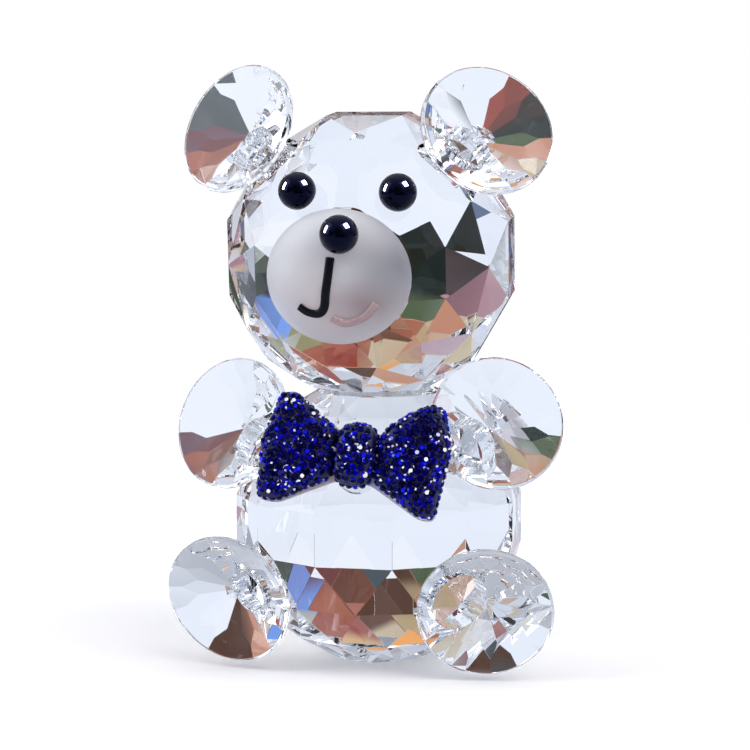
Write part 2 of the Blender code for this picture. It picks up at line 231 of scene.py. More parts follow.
class StageSettings(bpy.types.PropertyGroup):
    azimuth: angle("Azimuth", "Turn of the camera to the bear's left", 10.5)
    elevation: angle("Elevation", "Height of the camera as an angle", 6)
    distance: length("Distance", "From the camera to what it looks at", 0.285)
    lens: bpy.props.FloatProperty(
        name="Lens", description="Focal length on a 36 mm film", default=98.84, unit="CAMERA"
    )
    table: length("Table", "Radius of the round table", 0.257)
    lip: bpy.props.FloatVectorProperty(
        name="Lip",
        description="Height and radius of the pale lip that stands on the table",
        default=(0.015, 0.17),
        size=2,
        unit="LENGTH",
    )
    # Painted glow: the floor's colour as the crystal sees it is given off as light.
    floor: bpy.props.FloatVectorProperty(
        name="Floor",
        description="How bright the floor looks in the crystal",
        default=(0.83, 0.88, 0.99),
        size=3,
        subtype="COLOR",
    )
    # Painted shade: how far the floor's glow darkens round the bear.
    shade: length("Shade", "How far from the bear its soft shade reaches", 0.085)


class BearSettings(bpy.types.PropertyGroup):
    crystal: bpy.props.PointerProperty(type=CrystalSettings)
    bond: bpy.props.PointerProperty(type=BondSettings)
    face: bpy.props.PointerProperty(type=FaceSettings)
    bow: bpy.props.PointerProperty(type=BowSettings)
    stage: bpy.props.PointerProperty(type=StageSettings)


def direction(azimuth, elevation):
    """A unit vector from degrees: azimuth 0 is the bear's front, 90 its left."""
    a, e = math.radians(azimuth), math.radians(elevation)
    return Vector((math.sin(a) * math.cos(e), -math.cos(a) * math.cos(e), math.sin(e)))


def basis(z_axis, x_hint, origin):
    """A placement whose Z is this axis and whose X is near the hint."""
    z = z_axis.normalized()
    x = (x_hint - z * x_hint.dot(z)).normalized()
    y = z.cross(x)
    return Matrix.Translation(origin) @ Matrix((x, y, z)).transposed().to_4x4()


def only(*objects):
    """Makes these the selected objects, the last of them active."""
    if bpy.context.mode != "OBJECT":
        bpy.ops.object.mode_set(mode="OBJECT")
    bpy.ops.object.select_all(action="DESELECT")
    for obj in objects:
        obj.select_set(True)
        bpy.context.view_layer.objects.active = obj


def added(name):
    """The primitive just added, under its own name."""
    piece = bpy.context.view_layer.objects.active
    piece.name = name
    piece.data.name = name
    return piece


def set_down(piece, placement):
    """Puts a piece made at the origin in its place, and its place in its mesh."""
    only(piece)
    piece.matrix_world = placement
    bpy.ops.object.transform_apply(location=True, rotation=True, scale=True)


def unmark(piece):
    """Drops the marks that a copy brings along from the piece it was made from."""
    for key in list(piece.keys()):
        if key.startswith("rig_"):
            del piece[key]


def cad_copy(node, name):
    """A copy of a CAD node, its loose triangles merged back into whole faces."""
    only(frame["nodes"][node])
    bpy.ops.object.duplicate()
    piece = added(name)
    unmark(piece)
    piece.data.materials.clear()
    settings = bpy.context.scene.bear.crystal
    bpy.ops.object.mode_set(mode="EDIT")
    bpy.ops.mesh.select_all(action="SELECT")
    bpy.ops.mesh.remove_doubles(threshold=settings.merge)
    bpy.ops.mesh.dissolve_limited(angle_limit=math.radians(0.4))
    bpy.ops.object.mode_set(mode="OBJECT")
    return piece


def middle(node):
    """The middle of a CAD node's own points."""
    points = [vert.co for vert in frame["nodes"][node].data.vertices]
    return sum(points, Vector()) / len(points)


def modify(piece, kind, **values):
    """Adds a modifier and applies it."""
    only(piece)
    made = piece.modifiers.new(kind.lower(), kind)
    for key, value in values.items():
        setattr(made, key, value)
    bpy.ops.object.modifier_apply(modifier=made.name)


def bevel(piece, width, segments, degrees):
    """Rounds the edges that are sharper than this angle."""
    limit = math.radians(degrees)
    modify(piece, "BEVEL", width=width, segments=segments, limit_method="ANGLE", angle_limit=limit)


def smooth(piece, degrees):
    """Shades the piece smooth, but for the edges that are sharper than this angle."""
    only(piece)
    bpy.ops.object.shade_smooth_by_angle(angle=math.radians(degrees))


def finish_piece(piece, node):
    """Hangs a finished piece on the body in place of its CAD node."""
    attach(piece, BODY)
    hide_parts(node)


def new_material(name):
    """A material, and its nodes and links."""
    made = bpy.data.materials.new(name)
    made.use_nodes = True
    return made, made.node_tree.nodes, made.node_tree.links


def node(nodes, kind, **values):
    """A shader node with these settings."""
    made = nodes.new(kind)
    for key, value in values.items():
        setattr(made, key, value)
    return made


def ramp(nodes, stops, interpolation="LINEAR"):
    """A colour ramp with these (place, colour) stops."""
    made = nodes.new("ShaderNodeValToRGB")
    made.color_ramp.interpolation = interpolation
    elements = made.color_ramp.elements
    while len(elements) < len(stops):
        elements.new(0.5)
    for element, (place, colour) in zip(elements, stops):
        element.position = place
        element.color = (*colour, 1)
    return made


def tinted(nodes, links, source, stops):
    """Gives the shader a base colour that follows the source's value through a ramp."""
    tint = ramp(nodes, stops)
    links.new(source.outputs["Fac"], tint.inputs["Fac"])
    links.new(tint.outputs["Color"], nodes["Principled BSDF"].inputs["Base Color"])


def noise(nodes, links, scale, detail=2.0):
    """Noise over the piece's own coordinates, in metres."""
    place = nodes.new("ShaderNodeTexCoord")
    made = nodes.new("ShaderNodeTexNoise")
    made.inputs["Scale"].default_value = scale
    made.inputs["Detail"].default_value = detail
    links.new(place.outputs["Object"], made.inputs["Vector"])
    return made


def spread(nodes, links, source, low, high):
    """Stretches a 0 to 1 value to a range."""
    made = nodes.new("ShaderNodeMapRange")
    made.inputs["To Min"].default_value = low
    made.inputs["To Max"].default_value = high
    links.new(source, made.inputs["Value"])
    return made.outputs["Result"]


def crystal_material(settings):
    """Clear cut crystal with a breath of tint, its mirror images dimmed."""
    made, nodes, links = new_material("cut_crystal")
    shader = nodes["Principled BSDF"]
    shader.inputs["IOR"].default_value = settings.bend
    shader.inputs["Transmission Weight"].default_value = 1.0
    shader.inputs["Specular Tint"].default_value = (0.3, 0.32, 0.36, 1)
    cloud = noise(nodes, links, 90)
    tinted(nodes, links, cloud, ((0.3, [c * 0.985 for c in settings.tint]), (0.7, settings.tint)))
    shader.inputs["Roughness"].default_value = 0.0
    return made


def bonded_material():
    """A facet wetted by the adhesive, which light crosses without bending."""
    made, nodes, links = new_material("wetted_facet")
    shader = nodes["Principled BSDF"]
    shader.inputs["IOR"].default_value = 1.0
    shader.inputs["Transmission Weight"].default_value = 1.0
    shader.inputs["Roughness"].default_value = 0.0
    haze = noise(nodes, links, 700, 3)
    tinted(nodes, links, haze, ((0.25, (0.90, 0.92, 0.95)), (0.6, (0.98, 0.985, 0.99))))
    return made


def adhesive_material(name, clear):
    """Cured adhesive, clear or milky, with a little haze all over."""
    made, nodes, links = new_material(name)
    shader = nodes["Principled BSDF"]
    shader.inputs["IOR"].default_value = 1.49
    shader.inputs["Transmission Weight"].default_value = clear
    haze = noise(nodes, links, 1200, 3)
    links.new(spread(nodes, links, haze.outputs["Fac"], 0.02, 0.12), shader.inputs["Roughness"])
    tinted(nodes, links, haze, ((0.3, (0.90, 0.92, 0.94)), (0.7, (0.97, 0.98, 0.99))))
    return made


def imprint(piece, axis, centre, radius, low, high):
    """Cuts a bond's round outline into the facets it wets, and gives them the wetted finish.

    Known fault: the wall that cuts never gets the cutter's slot, so the delete below removes nothing. Each
    imprint leaves its open wall in the piece, which isn't a closed body after that.
    """
    only(piece)
    piece.active_material_index = CUTTER
    bpy.ops.object.mode_set(mode="EDIT")
    bpy.ops.mesh.select_all(action="DESELECT")
    turn = basis(axis, Vector((0.3, 0.2, 1)), centre).to_euler()
    bpy.ops.mesh.primitive_cylinder_add(
        vertices=BOND_SIDES,
        radius=radius,
        depth=high - low,
        end_fill_type="NOTHING",
        location=centre + axis * (low + high) / 2,
        rotation=turn,
    )
    bpy.ops.mesh.intersect(mode="SELECT_UNSELECT", separate_mode="NONE", solver="EXACT")
    bpy.ops.object.mode_set(mode="OBJECT")
    mesh = piece.data
    only(piece)
    for poly in mesh.polygons:
        poly.select = poly.material_index == CUTTER
    bpy.ops.object.mode_set(mode="EDIT")
    bpy.ops.mesh.select_mode(type="FACE")
    bpy.ops.mesh.delete(type="FACE")
    bpy.ops.object.mode_set(mode="OBJECT")
    wetted = 0
    for poly in mesh.polygons:
        reach = poly.center - centre
        along = reach.dot(axis)
        off = (reach - axis * along).length
        if off < radius * 0.995 and low < along < high:
            poly.material_index = WETTED
            wetted += 1
    if not wetted:
        raise RuntimeError(f"{piece.name} took no imprint")


class BEAR_OT_cut_crystals(bpy.types.Operator):
    """Polish the two balls and the six cut discs, and wet the facets where they are glued"""

    bl_idname = "bear.cut_crystals"
    bl_label = "Cut Crystals"

    def execute(self, context):
        settings = context.scene.bear.crystal
        bonds = context.scene.bear.bond
        finishes = (crystal_material(settings), bonded_material(), bpy.data.materials.new("cutter"))
        pieces = {}
        for name in (*BALLS, *DISCS):
            piece = cad_copy(name, f"{name}_cut")
            bevel(piece, width=settings.edge, segments=2, degrees=5)
            for finish in finishes:
                piece.data.materials.append(finish)
            pieces[name] = piece
        for name, ball in DISCS.items():
            contact, axis, radius = limb_bond(name, bonds)
            imprint(pieces[name], axis, contact, radius, *DISC_REACH)
            imprint(pieces[f"{ball}_ball"], axis, contact, radius, *BALL_REACH)
        neck = middle("adhesive_neck")
        up = Vector((0, 0, 1))
        imprint(pieces["body_ball"], up, neck, bonds.neck, -BOND, 0)
        imprint(pieces["head_ball"], up, neck, bonds.neck, 0, BOND)
        for name, piece in pieces.items():
            only(piece)
            bpy.ops.object.material_slot_remove_unused()
            smooth(piece, 4.5)
            finish_piece(piece, name)
        bpy.data.materials.remove(finishes[CUTTER])
        return {"FINISHED"}


def limb_bond(name, bonds):
    """Where a disc touches its ball, which way its seat faces, and its bond's radius."""
    ball = CENTRES[DISCS[name]]
    pad = middle(f"adhesive_{name}")
    axis = (pad - ball).normalized()
    radius = getattr(bonds, name, None) or getattr(bonds, name.split("_")[0])
    return pad + axis * HALF_BOND, axis, radius


class BEAR_OT_adhesive(bpy.types.Operator):
    """Fill the joints between the crystals with cured adhesive"""

    bl_idname = "bear.adhesive"
    bl_label = "Adhesive"

    def execute(self, context):
        bonds = context.scene.bear.bond
        clear = adhesive_material("cured_adhesive", 1.0)
        milky = adhesive_material("milky_adhesive", 0.25)
        wetted = bpy.data.materials["wetted_facet"]
        gap = bonds.crevice
        for name in DISCS:
            contact, axis, radius = limb_bond(name, bonds)
            pad = self.plug(f"adhesive_{name}_pad", contact, axis, radius, -BOND + gap, PLUG_RISE)
            self.trim(pad, f"{name}_cut", -axis * gap)
            self.dress(pad, axis, clear, wetted)
            finish_piece(pad, f"adhesive_{name}")
        neck = middle("adhesive_neck")
        up = Vector((0, 0, 1))
        half = HALF_BOND - gap
        pad = self.plug("adhesive_neck_pad", neck, up, bonds.neck, -half, half)
        self.dress(pad, up, milky, wetted)
        finish_piece(pad, "adhesive_neck")
        for name in ("muzzle", "nose", "bow", "eye_left", "eye_right"):
            frame["nodes"][f"adhesive_{name}"].material_slots[0].material = clear
        return {"FINISHED"}

    def plug(self, name, centre, axis, radius, low, high):
        """A round plug of adhesive along its bond's axis."""
        bpy.ops.object.select_all(action="DESELECT")
        bpy.ops.mesh.primitive_cylinder_add(vertices=BOND_SIDES, radius=radius, depth=high - low)
        pad = added(name)
        set_down(pad, basis(axis, Vector((0.3, 0.2, 1)), centre + axis * (low + high) / 2))
        return pad

    def trim(self, pad, cutter_name, shift):
        """Cuts a plug back to its disc, a crevice short of it.

        Known fault: the disc holds the open walls of its imprint, so the trimmed pad isn't closed either.
        """
        only(bpy.data.objects[cutter_name])
        bpy.ops.object.duplicate()
        cutter = bpy.context.view_layer.objects.active
        unmark(cutter)
        cutter.parent = None
        cutter.matrix_world = Matrix.Translation(shift)
        modify(pad, "BOOLEAN", object=cutter, operation="DIFFERENCE", solver="EXACT")
        bpy.data.objects.remove(cutter)
        if not pad.data.polygons:
            raise RuntimeError(f"{pad.name} was cut away")

    def dress(self, pad, axis, clear, wetted):
        """Wets a pad's two ends and leaves its side wall as plain adhesive."""
        pad.data.materials.clear()
        pad.data.materials.append(clear)
        pad.data.materials.append(wetted)
        for poly in pad.data.polygons:
            poly.material_index = WETTED if abs(poly.normal.dot(axis)) > 0.5 else CLEAR
        smooth(pad, 12)


def muzzle_frame():
    """The frame of the muzzle's back: X to the bear's left, Z out of its face."""
    pad = middle("adhesive_muzzle")
    axis = direction(0, HEAD_NOD)
    return basis(axis, Vector((1, 0, 0)), pad + axis * HALF_BOND)


def painted_shade(nodes, links, colour, place, reach, shade):
    """Deepens a colour softly round a place: a painted shade."""
    where = nodes.new("ShaderNodeTexCoord")
    shift = node(nodes, "ShaderNodeMapping", vector_type="TEXTURE")
    shift.inputs["Location"].default_value = place
    shift.inputs["Scale"].default_value = reach
    links.new(where.outputs["Object"], shift.inputs["Vector"])
    spot = node(nodes, "ShaderNodeTexGradient", gradient_type="QUADRATIC_SPHERE")
    links.new(shift.outputs["Vector"], spot.inputs["Vector"])
    over = node(nodes, "ShaderNodeMix", data_type="RGBA", blend_type="MULTIPLY")
    links.new(spot.outputs["Fac"], over.inputs["Factor"])
    links.new(colour, over.inputs["A"])
    over.inputs["B"].default_value = (*shade, 1)
    return over.outputs["Result"]


def frosted_material():
    """Sandblasted glass: milky, with fine mottling, a faint lilac cast and two painted shades."""
    made, nodes, links = new_material("frosted_glass")
    shader = nodes["Principled BSDF"]
    shader.inputs["IOR"].default_value = 1.5
    shader.inputs["Transmission Weight"].default_value = 0.62
    cloud = noise(nodes, links, 160, 3)
    tint = ramp(nodes, ((0.3, (0.93, 0.94, 0.97)), (0.55, (0.97, 0.97, 0.99)), (0.75, (1.0, 1.0, 1.0))))
    links.new(cloud.outputs["Fac"], tint.inputs["Fac"])
    colour = tint.outputs["Color"]
    # Painted shade: a darker side and a pinkish patch are multiplied into the colour, standing for light
    # through the frosting.
    for place, reach, shade in PAINTED_SHADES:
        colour = painted_shade(nodes, links, colour, place, reach, shade)
    links.new(colour, shader.inputs["Base Color"])
    grit = noise(nodes, links, 9000, 2)
    links.new(spread(nodes, links, grit.outputs["Fac"], 0.35, 0.55), shader.inputs["Roughness"])
    bump = nodes.new("ShaderNodeBump")
    bump.inputs["Strength"].default_value = 0.25
    bump.inputs["Distance"].default_value = 0.02 * MM
    links.new(grit.outputs["Fac"], bump.inputs["Height"])
    links.new(bump.outputs["Normal"], shader.inputs["Normal"])
    return made


class BEAR_OT_muzzle(bpy.types.Operator):
    """Blow the frosted muzzle dome"""

    bl_idname = "bear.muzzle"
    bl_label = "Muzzle"

    def execute(self, context):
        face = context.scene.bear.face
        bpy.ops.object.select_all(action="DESELECT")
        bpy.ops.mesh.primitive_uv_sphere_add(segments=128, ring_count=64, radius=1)
        dome = added("muzzle_frosted")
        bpy.ops.object.mode_set(mode="EDIT")
        bpy.ops.mesh.select_all(action="SELECT")
        bpy.ops.mesh.bisect(plane_co=(0, 0, 0), plane_no=(0, 0, 1), clear_inner=True)
        bpy.ops.mesh.select_all(action="SELECT")
        rise = face.depth - face.rim
        bpy.ops.transform.resize(value=(face.width / 2, face.height / 2, rise), center_override=(0, 0, 0))
        bpy.ops.transform.translate(value=(0, 0, face.rim))
        bpy.ops.mesh.select_all(action="DESELECT")
        bpy.ops.mesh.select_mode(type="EDGE")
        bpy.ops.mesh.select_non_manifold()
        bpy.ops.mesh.extrude_region_move(TRANSFORM_OT_translate={"value": (0, 0, -face.rim)})
        bpy.ops.mesh.edge_face_add()
        bpy.ops.object.mode_set(mode="OBJECT")
        bevel(dome, width=0.3 * MM, segments=4, degrees=50)
        smooth(dome, 35)
        set_down(dome, muzzle_frame())
        dome.data.materials.append(frosted_material())
        finish_piece(dome, "muzzle_dome")
        return {"FINISHED"}


def bead_material():
    """Polished black bead, its reflections given a painted navy tint."""
    made, nodes, links = new_material("black_bead")
    shader = nodes["Principled BSDF"]
    shader.inputs["IOR"].default_value = 1.3
    cloud = noise(nodes, links, 500)
    tinted(nodes, links, cloud, ((0.3, (0.00002, 0.00002, 0.0001)), (0.7, (0.00004, 0.00004, 0.0003))))
    shader.inputs["Roughness"].default_value = 0.04
    # Painted reflection colour: the blue specular tint turns what the bead mirrors navy.
    shader.inputs["Specular Tint"].default_value = (0.3, 0.34, 1.0, 1)
    return made


class BEAR_OT_beads(bpy.types.Operator):
    """Set the eyes and the nose"""

    bl_idname = "bear.beads"
    bl_label = "Beads"

    def execute(self, context):
        face = context.scene.bear.face
        black = bead_material()
        for name in ("eye_left", "eye_right", "nose_bead"):
            foot = middle(f"adhesive_{name.replace('_bead', '')}")
            axis = self.axis(name, foot)
            bpy.ops.object.select_all(action="DESELECT")
            bpy.ops.mesh.primitive_uv_sphere_add(segments=96, ring_count=64, radius=face.bead)
            bead = added(f"{name}_polished")
            bpy.ops.object.mode_set(mode="EDIT")
            bpy.ops.mesh.select_all(action="SELECT")
            bpy.ops.mesh.bisect(
                plane_co=(0, 0, -BEAD_CENTRE), plane_no=(0, 0, 1), clear_inner=True, use_fill=True
            )
            bpy.ops.object.mode_set(mode="OBJECT")
            bevel(bead, width=0.12 * MM, segments=3, degrees=30)
            smooth(bead, 30)
            set_down(bead, basis(axis, Vector((0, 0, 1)), foot + axis * (BEAD_FOOT + BEAD_CENTRE)))
            bead.data.materials.append(black)
            finish_piece(bead, name)
        return {"FINISHED"}

    def axis(self, name, foot):
        """Out of the head for an eye, and the ground flat's own normal for the nose."""
        if name != "nose_bead":
            return (foot - CENTRES["head"]).normalized()
        pad = frame["nodes"]["adhesive_nose"].data
        face = max(pad.polygons, key=lambda poly: poly.area)
        normal = face.normal.copy()
        return normal if normal.dot(direction(0, 0)) > 0 else -normal


def paint_material(name, dark, light, gloss, **inputs):
    """Brushed paint, mottled between two colours, with other shader inputs by name."""
    made, nodes, links = new_material(name)
    shader = nodes["Principled BSDF"]
    cloud = noise(nodes, links, 1500, 3)
    tinted(nodes, links, cloud, ((0.3, dark), (0.7, light)))
    links.new(spread(nodes, links, cloud.outputs["Fac"], gloss, gloss + 0.15), shader.inputs["Roughness"])
    for key, value in inputs.items():
        shader.inputs[key.replace("_", " ")].default_value = value
    return made


class BEAR_OT_mouth(bpy.types.Operator):
    """Paint the mouth"""

    bl_idname = "bear.mouth"
    bl_label = "Mouth"

    def execute(self, context):
        black = paint_material(
            "mouth_paint",
            dark=(0.001, 0.001, 0.002),
            light=(0.004, 0.0035, 0.007),
            gloss=0.3,
            Specular_Tint=(0.22, 0.22, 0.28, 1),
        )
        blush = paint_material(
            "smile_glaze",
            dark=(0.62, 0.43, 0.43),
            light=(0.75, 0.58, 0.58),
            gloss=0.15,
            Transmission_Weight=0.5,
            IOR=1.45,
        )
        lines = (("mouth_line", black, "black_paint"), ("smile_line_left", blush, "blush_paint"))
        for name, finish, slot in lines:
            stroke = cad_copy(name, f"{name}_brushed")
            bevel(stroke, width=0.12 * MM, segments=3, degrees=30)
            smooth(stroke, 60)
            stroke.data.materials.append(finish)
            finish_piece(stroke, name)
        return {"FINISHED"}


def stone_material():
    """Foiled blue stones: each facet has a tone of its own, from near black through painted blue glints to a
    painted white highlight.
    """
    made, nodes, links = new_material("blue_stones")
    shader = nodes["Principled BSDF"]
    tone = node(nodes, "ShaderNodeAttribute", attribute_name="tone")
    tinted(
        nodes,
        links,
        tone,
        (
            (0.0, (0.0003, 0.0003, 0.008)),
            (0.42, (0.0006, 0.0006, 0.03)),
            (0.62, (0.001, 0.001, 0.13)),
            (0.80, (0.002, 0.002, 0.42)),
            # Painted highlight: the top stops turn a facet bright blue and then white, as if it caught the
            # light.
            (0.925, (0.005, 0.015, 0.95)),
            (0.935, (0.35, 0.45, 0.95)),
            (0.95, (1.0, 1.0, 1.0)),
        ),
    )
    shader.inputs["IOR"].default_value = 1.35
    shader.inputs["Roughness"].default_value = 0.12
    shader.inputs["Specular Tint"].default_value = (0.25, 0.28, 1.0, 1)
    return made


def setting_material():
    """The dark blue bed that the stones sit in."""
    made, nodes, links = new_material("stone_bed")
    shader = nodes["Principled BSDF"]
    cloud = noise(nodes, links, 900, 3)
    tinted(nodes, links, cloud, ((0.3, (0.001, 0.001, 0.01)), (0.75, (0.004, 0.004, 0.09))))
    shader.inputs["Roughness"].default_value = 0.35
    return made


def silver_material():
    """Silvered sheet with fine brushing."""
    made, nodes, links = new_material("silver_plate")
    shader = nodes["Principled BSDF"]
    shader.inputs["Metallic"].default_value = 0.4
    grain = noise(nodes, links, 2500, 3)
    tinted(nodes, links, grain, ((0.3, (0.78, 0.79, 0.84)), (0.7, (0.95, 0.96, 1.0))))
    links.new(spread(nodes, links, grain.outputs["Fac"], 0.12, 0.32), shader.inputs["Roughness"])
    return made


def bow_frame():
    """The frame of the bow's plate: Z out of it, X along it to the bear's left."""
    axis = direction(BOW_AZIMUTH, BOW_ELEVATION)
    up = Vector((0, 0, 1))
    rise = (up - axis * axis.z).normalized()
    back = CENTRES["body"] + axis * BOW_OUT + rise * BOW_RISE
    return basis(axis, Vector((1, 0, 0)), back) @ Matrix.Rotation(math.radians(BOW_TILT), 4, "Z")


class BEAR_OT_bow(bpy.types.Operator):
    """Make the bow tie: silver plate, beds and stones"""

    bl_idname = "bear.bow"
    bl_label = "Bow Tie"

    def execute(self, context):
        bow = context.scene.bear.bow
        dice = random.Random(bow.seed)
        plate = cad_copy("bow_backing_plate", "bow_plate_silver")
        bevel(plate, width=0.12 * MM, segments=3, degrees=40)
        smooth(plate, 30)
        plate.data.materials.append(silver_material())
        finish_piece(plate, "bow_backing_plate")
        bed = setting_material()
        stones = stone_material()
        pattern = self.stone(bow)
        placement = bow_frame()
        for name in WINGS:
            cad = frame["nodes"][name]
            spots = self.spots(cad, placement, bow, dice)
            made = [self.copy(pattern, spot, dice, bow, stones) for spot in spots]
            body = cad_copy(name, f"{name}_stones")
            bevel(body, width=0.2 * MM, segments=2, degrees=25)
            smooth(body, 40)
            body.data.materials.append(bed)
            only(*made, body)
            bpy.ops.object.join()
            finish_piece(body, name)
        bpy.data.objects.remove(pattern)
        return {"FINISHED"}

    def stone(self, bow):
        """One stone: a table, a crown, a thin girdle and a foot."""
        bpy.ops.object.select_all(action="DESELECT")
        bpy.ops.mesh.primitive_cylinder_add(vertices=STONE_SIDES, radius=bow.stone / 2, depth=STONE_GIRDLE)
        stone = added("stone")
        bpy.ops.object.mode_set(mode="EDIT")
        bpy.ops.mesh.select_mode(type="FACE")
        for top, drop, share in (CROWN, FOOT):
            bpy.ops.mesh.select_all(action="DESELECT")
            bpy.ops.object.mode_set(mode="OBJECT")
            for poly in stone.data.polygons:
                poly.select = poly.normal.z * top > 0.9
            bpy.ops.object.mode_set(mode="EDIT")
            bpy.ops.mesh.extrude_region_move(TRANSFORM_OT_translate={"value": (0, 0, drop)})
            bpy.ops.transform.resize(value=(share, share, 1))
        bpy.ops.mesh.select_all(action="DESELECT")
        bpy.ops.object.mode_set(mode="OBJECT")
        return stone

    def spots(self, cad, placement, bow, dice):
        """Places and outward directions over the top and round the sides of one bed."""
        inverse = placement.inverted()
        points = [inverse @ vert.co for vert in cad.data.vertices]
        low = Vector(map(min, *points))
        high = Vector(map(max, *points))
        centre = (low + high) / 2
        down = -(placement.to_3x3() @ Vector((0, 0, 1)))
        found = []
        row = 0
        y = low.y - bow.pitch
        while y < high.y + bow.pitch:
            x = low.x - bow.pitch + (row % 2) * bow.pitch / 2
            while x < high.x + bow.pitch:
                across = x + dice.uniform(-1, 1) * bow.stray
                along = y + dice.uniform(-1, 1) * bow.stray
                x += bow.pitch
                start = placement @ Vector((across, along, 8 * MM))
                hit, where, normal, _ = cad.ray_cast(start, down)
                if not hit or normal.dot(-down) < FLAT_SHARE:
                    continue
                local = inverse @ where
                lean = Vector(
                    ((local.x - centre.x) / (high.x - low.x), (local.y - centre.y) / (high.y - low.y), 0)
                )
                out = normal + placement.to_3x3() @ lean * 0.5
                found.append((where, out.normalized()))
            row += 1
            y += bow.pitch * ROW_SHARE
        found += self.edge_spots(cad, placement, centre, low.z + EDGE_LEVEL, bow, dice)
        return found

    def edge_spots(self, cad, placement, centre, level, bow, dice):
        """A row of stones round the side, facing outwards."""
        turn = placement.to_3x3()
        ring = []
        for step in range(EDGE_RAYS):
            a = math.tau * step / EDGE_RAYS
            ray = Vector((math.cos(a), math.sin(a), 0))
            start = Vector((centre.x, centre.y, level)) + ray * 20 * MM
            hit, where, normal, _ = cad.ray_cast(placement @ start, turn @ -ray)
            if hit:
                ring.append((where, normal))
        found = []
        last = None
        for where, normal in ring:
            if last is None or (where - last).length > bow.pitch * EDGE_SHARE:
                out = (normal + turn @ Vector((0, 0, 0.25 + dice.uniform(-0.15, 0.15)))).normalized()
                found.append((where - normal * 0.05 * MM, out))
                last = where
        return found

    def copy(self, pattern, spot, dice, bow, finish):
        """One more stone with its own mesh, its own lean and its own tones and painted glints."""
        where, out = spot
        mesh = pattern.data.copy()
        stone = bpy.data.objects.new("stone", mesh)
        bpy.context.scene.collection.objects.link(stone)
        lean = Vector((dice.gauss(0, 1), dice.gauss(0, 1), dice.gauss(0, 1))) * math.tan(bow.tilt) * 0.6
        axis = (out + lean - out * out.dot(lean)).normalized()
        spin = Vector((dice.gauss(0, 1), dice.gauss(0, 1), dice.gauss(0, 1)))
        mesh.transform(basis(axis, spin, where + axis * 0.02 * MM))
        mesh.materials.clear()
        mesh.materials.append(finish)
        tone = mesh.attributes.new("tone", "FLOAT", "FACE")
        base = dice.random()
        for poly, value in zip(mesh.polygons, tone.data):
            value.value = min(1, max(0, 0.45 * base + 0.55 * dice.random()))
            # Painted highlight: one facet in twenty gets a tone near the top of the ramp, a bright blue or
            # white glint.
            if dice.random() < 0.05:
                value.value = dice.uniform(0.9, 1)
        return stone


def floor_material(settings):
    """A pale floor to the camera, and to every other ray a painted glow with a painted shade softly round the
    bear.
    """
    made, nodes, links = new_material("pale_floor")
    shader = nodes["Principled BSDF"]
    shader.inputs["Roughness"].default_value = 0.9
    cloud = noise(nodes, links, 3)
    tinted(nodes, links, cloud, ((0.3, (0.96, 0.965, 0.975)), (0.7, (0.97, 0.975, 0.985))))
    place = nodes.new("ShaderNodeTexCoord")
    reach = node(nodes, "ShaderNodeVectorMath", operation="LENGTH")
    links.new(place.outputs["Object"], reach.inputs[0])
    away = nodes.new("ShaderNodeMapRange")
    away.inputs["From Max"].default_value = settings.shade
    links.new(reach.outputs["Value"], away.inputs["Value"])
    # Painted shade: the glow falls to 55 per cent of the floor colour near the bear and rises to full at the
    # shade's reach.
    shares = ((0.2, 0.55), (0.55, 0.85), (1.0, 1.0))
    tint = ramp(nodes, [(at, [c * share for c in settings.floor]) for at, share in shares], "EASE")
    links.new(away.outputs["Result"], tint.inputs["Fac"])
    # Painted glow: what the crystal sees of the floor is given off as light, not lit.
    glow = nodes.new("ShaderNodeEmission")
    links.new(tint.outputs["Color"], glow.inputs["Color"])
    seen = nodes.new("ShaderNodeLightPath")
    mix = nodes.new("ShaderNodeMixShader")
    links.new(seen.outputs["Is Camera Ray"], mix.inputs[0])
    links.new(glow.outputs[0], mix.inputs[1])
    links.new(shader.outputs[0], mix.inputs[2])
    links.new(mix.outputs[0], nodes["Material Output"].inputs["Surface"])
    return made


